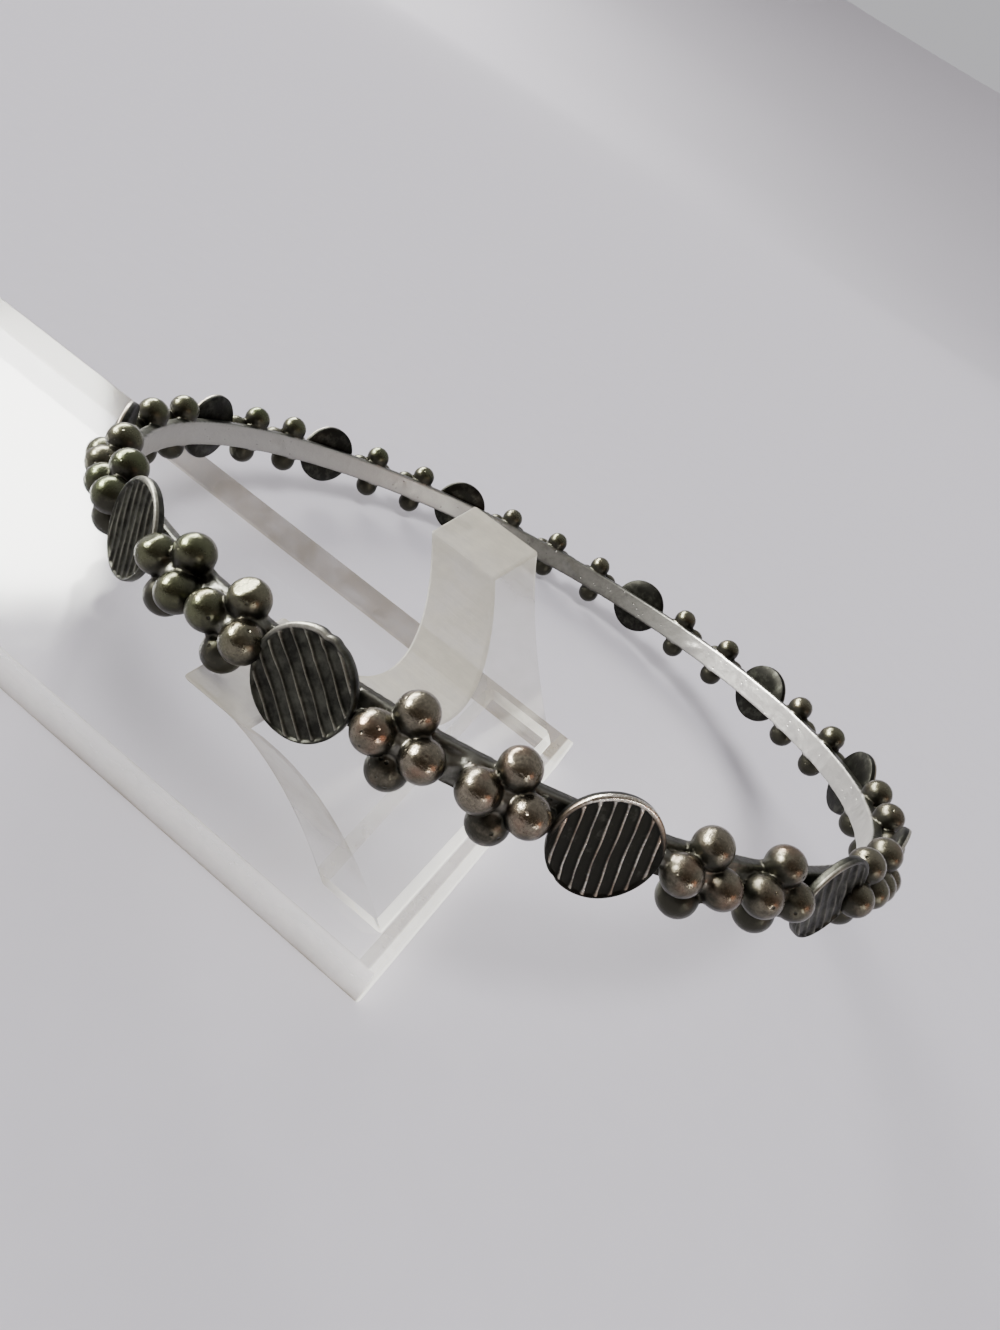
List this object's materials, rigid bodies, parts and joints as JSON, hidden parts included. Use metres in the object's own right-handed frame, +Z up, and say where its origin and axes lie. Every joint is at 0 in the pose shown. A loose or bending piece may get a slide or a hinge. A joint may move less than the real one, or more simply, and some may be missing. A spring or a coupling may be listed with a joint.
{
  "type": "beaded bangle on a display stand",
  "caption": "Closed bangle of oxidised silver with ribbed discs and clusters of balls on a flat hoop, leaning on a notched clear acrylic display stand.",
  "frame": {"origin": "on the table, under the middle of the outline of the bangle and its stand", "axes": "+X along the stand's base strip, from its free end to the cradle; +Y across it, from the raised side of the bangle to the side that lies on the table; +Z up"},
  "size_m": [0.1152, 0.0687, 0.0222],
  "materials": {
    "oxidised_silver": "oxidised dark in the hollows, worn bright on the high spots",
    "acrylic": "clear polished, with a sawn and frosted notch"
  },
  "bodies": {
    "root": {"bangle": "oxidised_silver", "stand_base": "acrylic", "stand_cradle": "acrylic"}
  },
  "joints": []
}
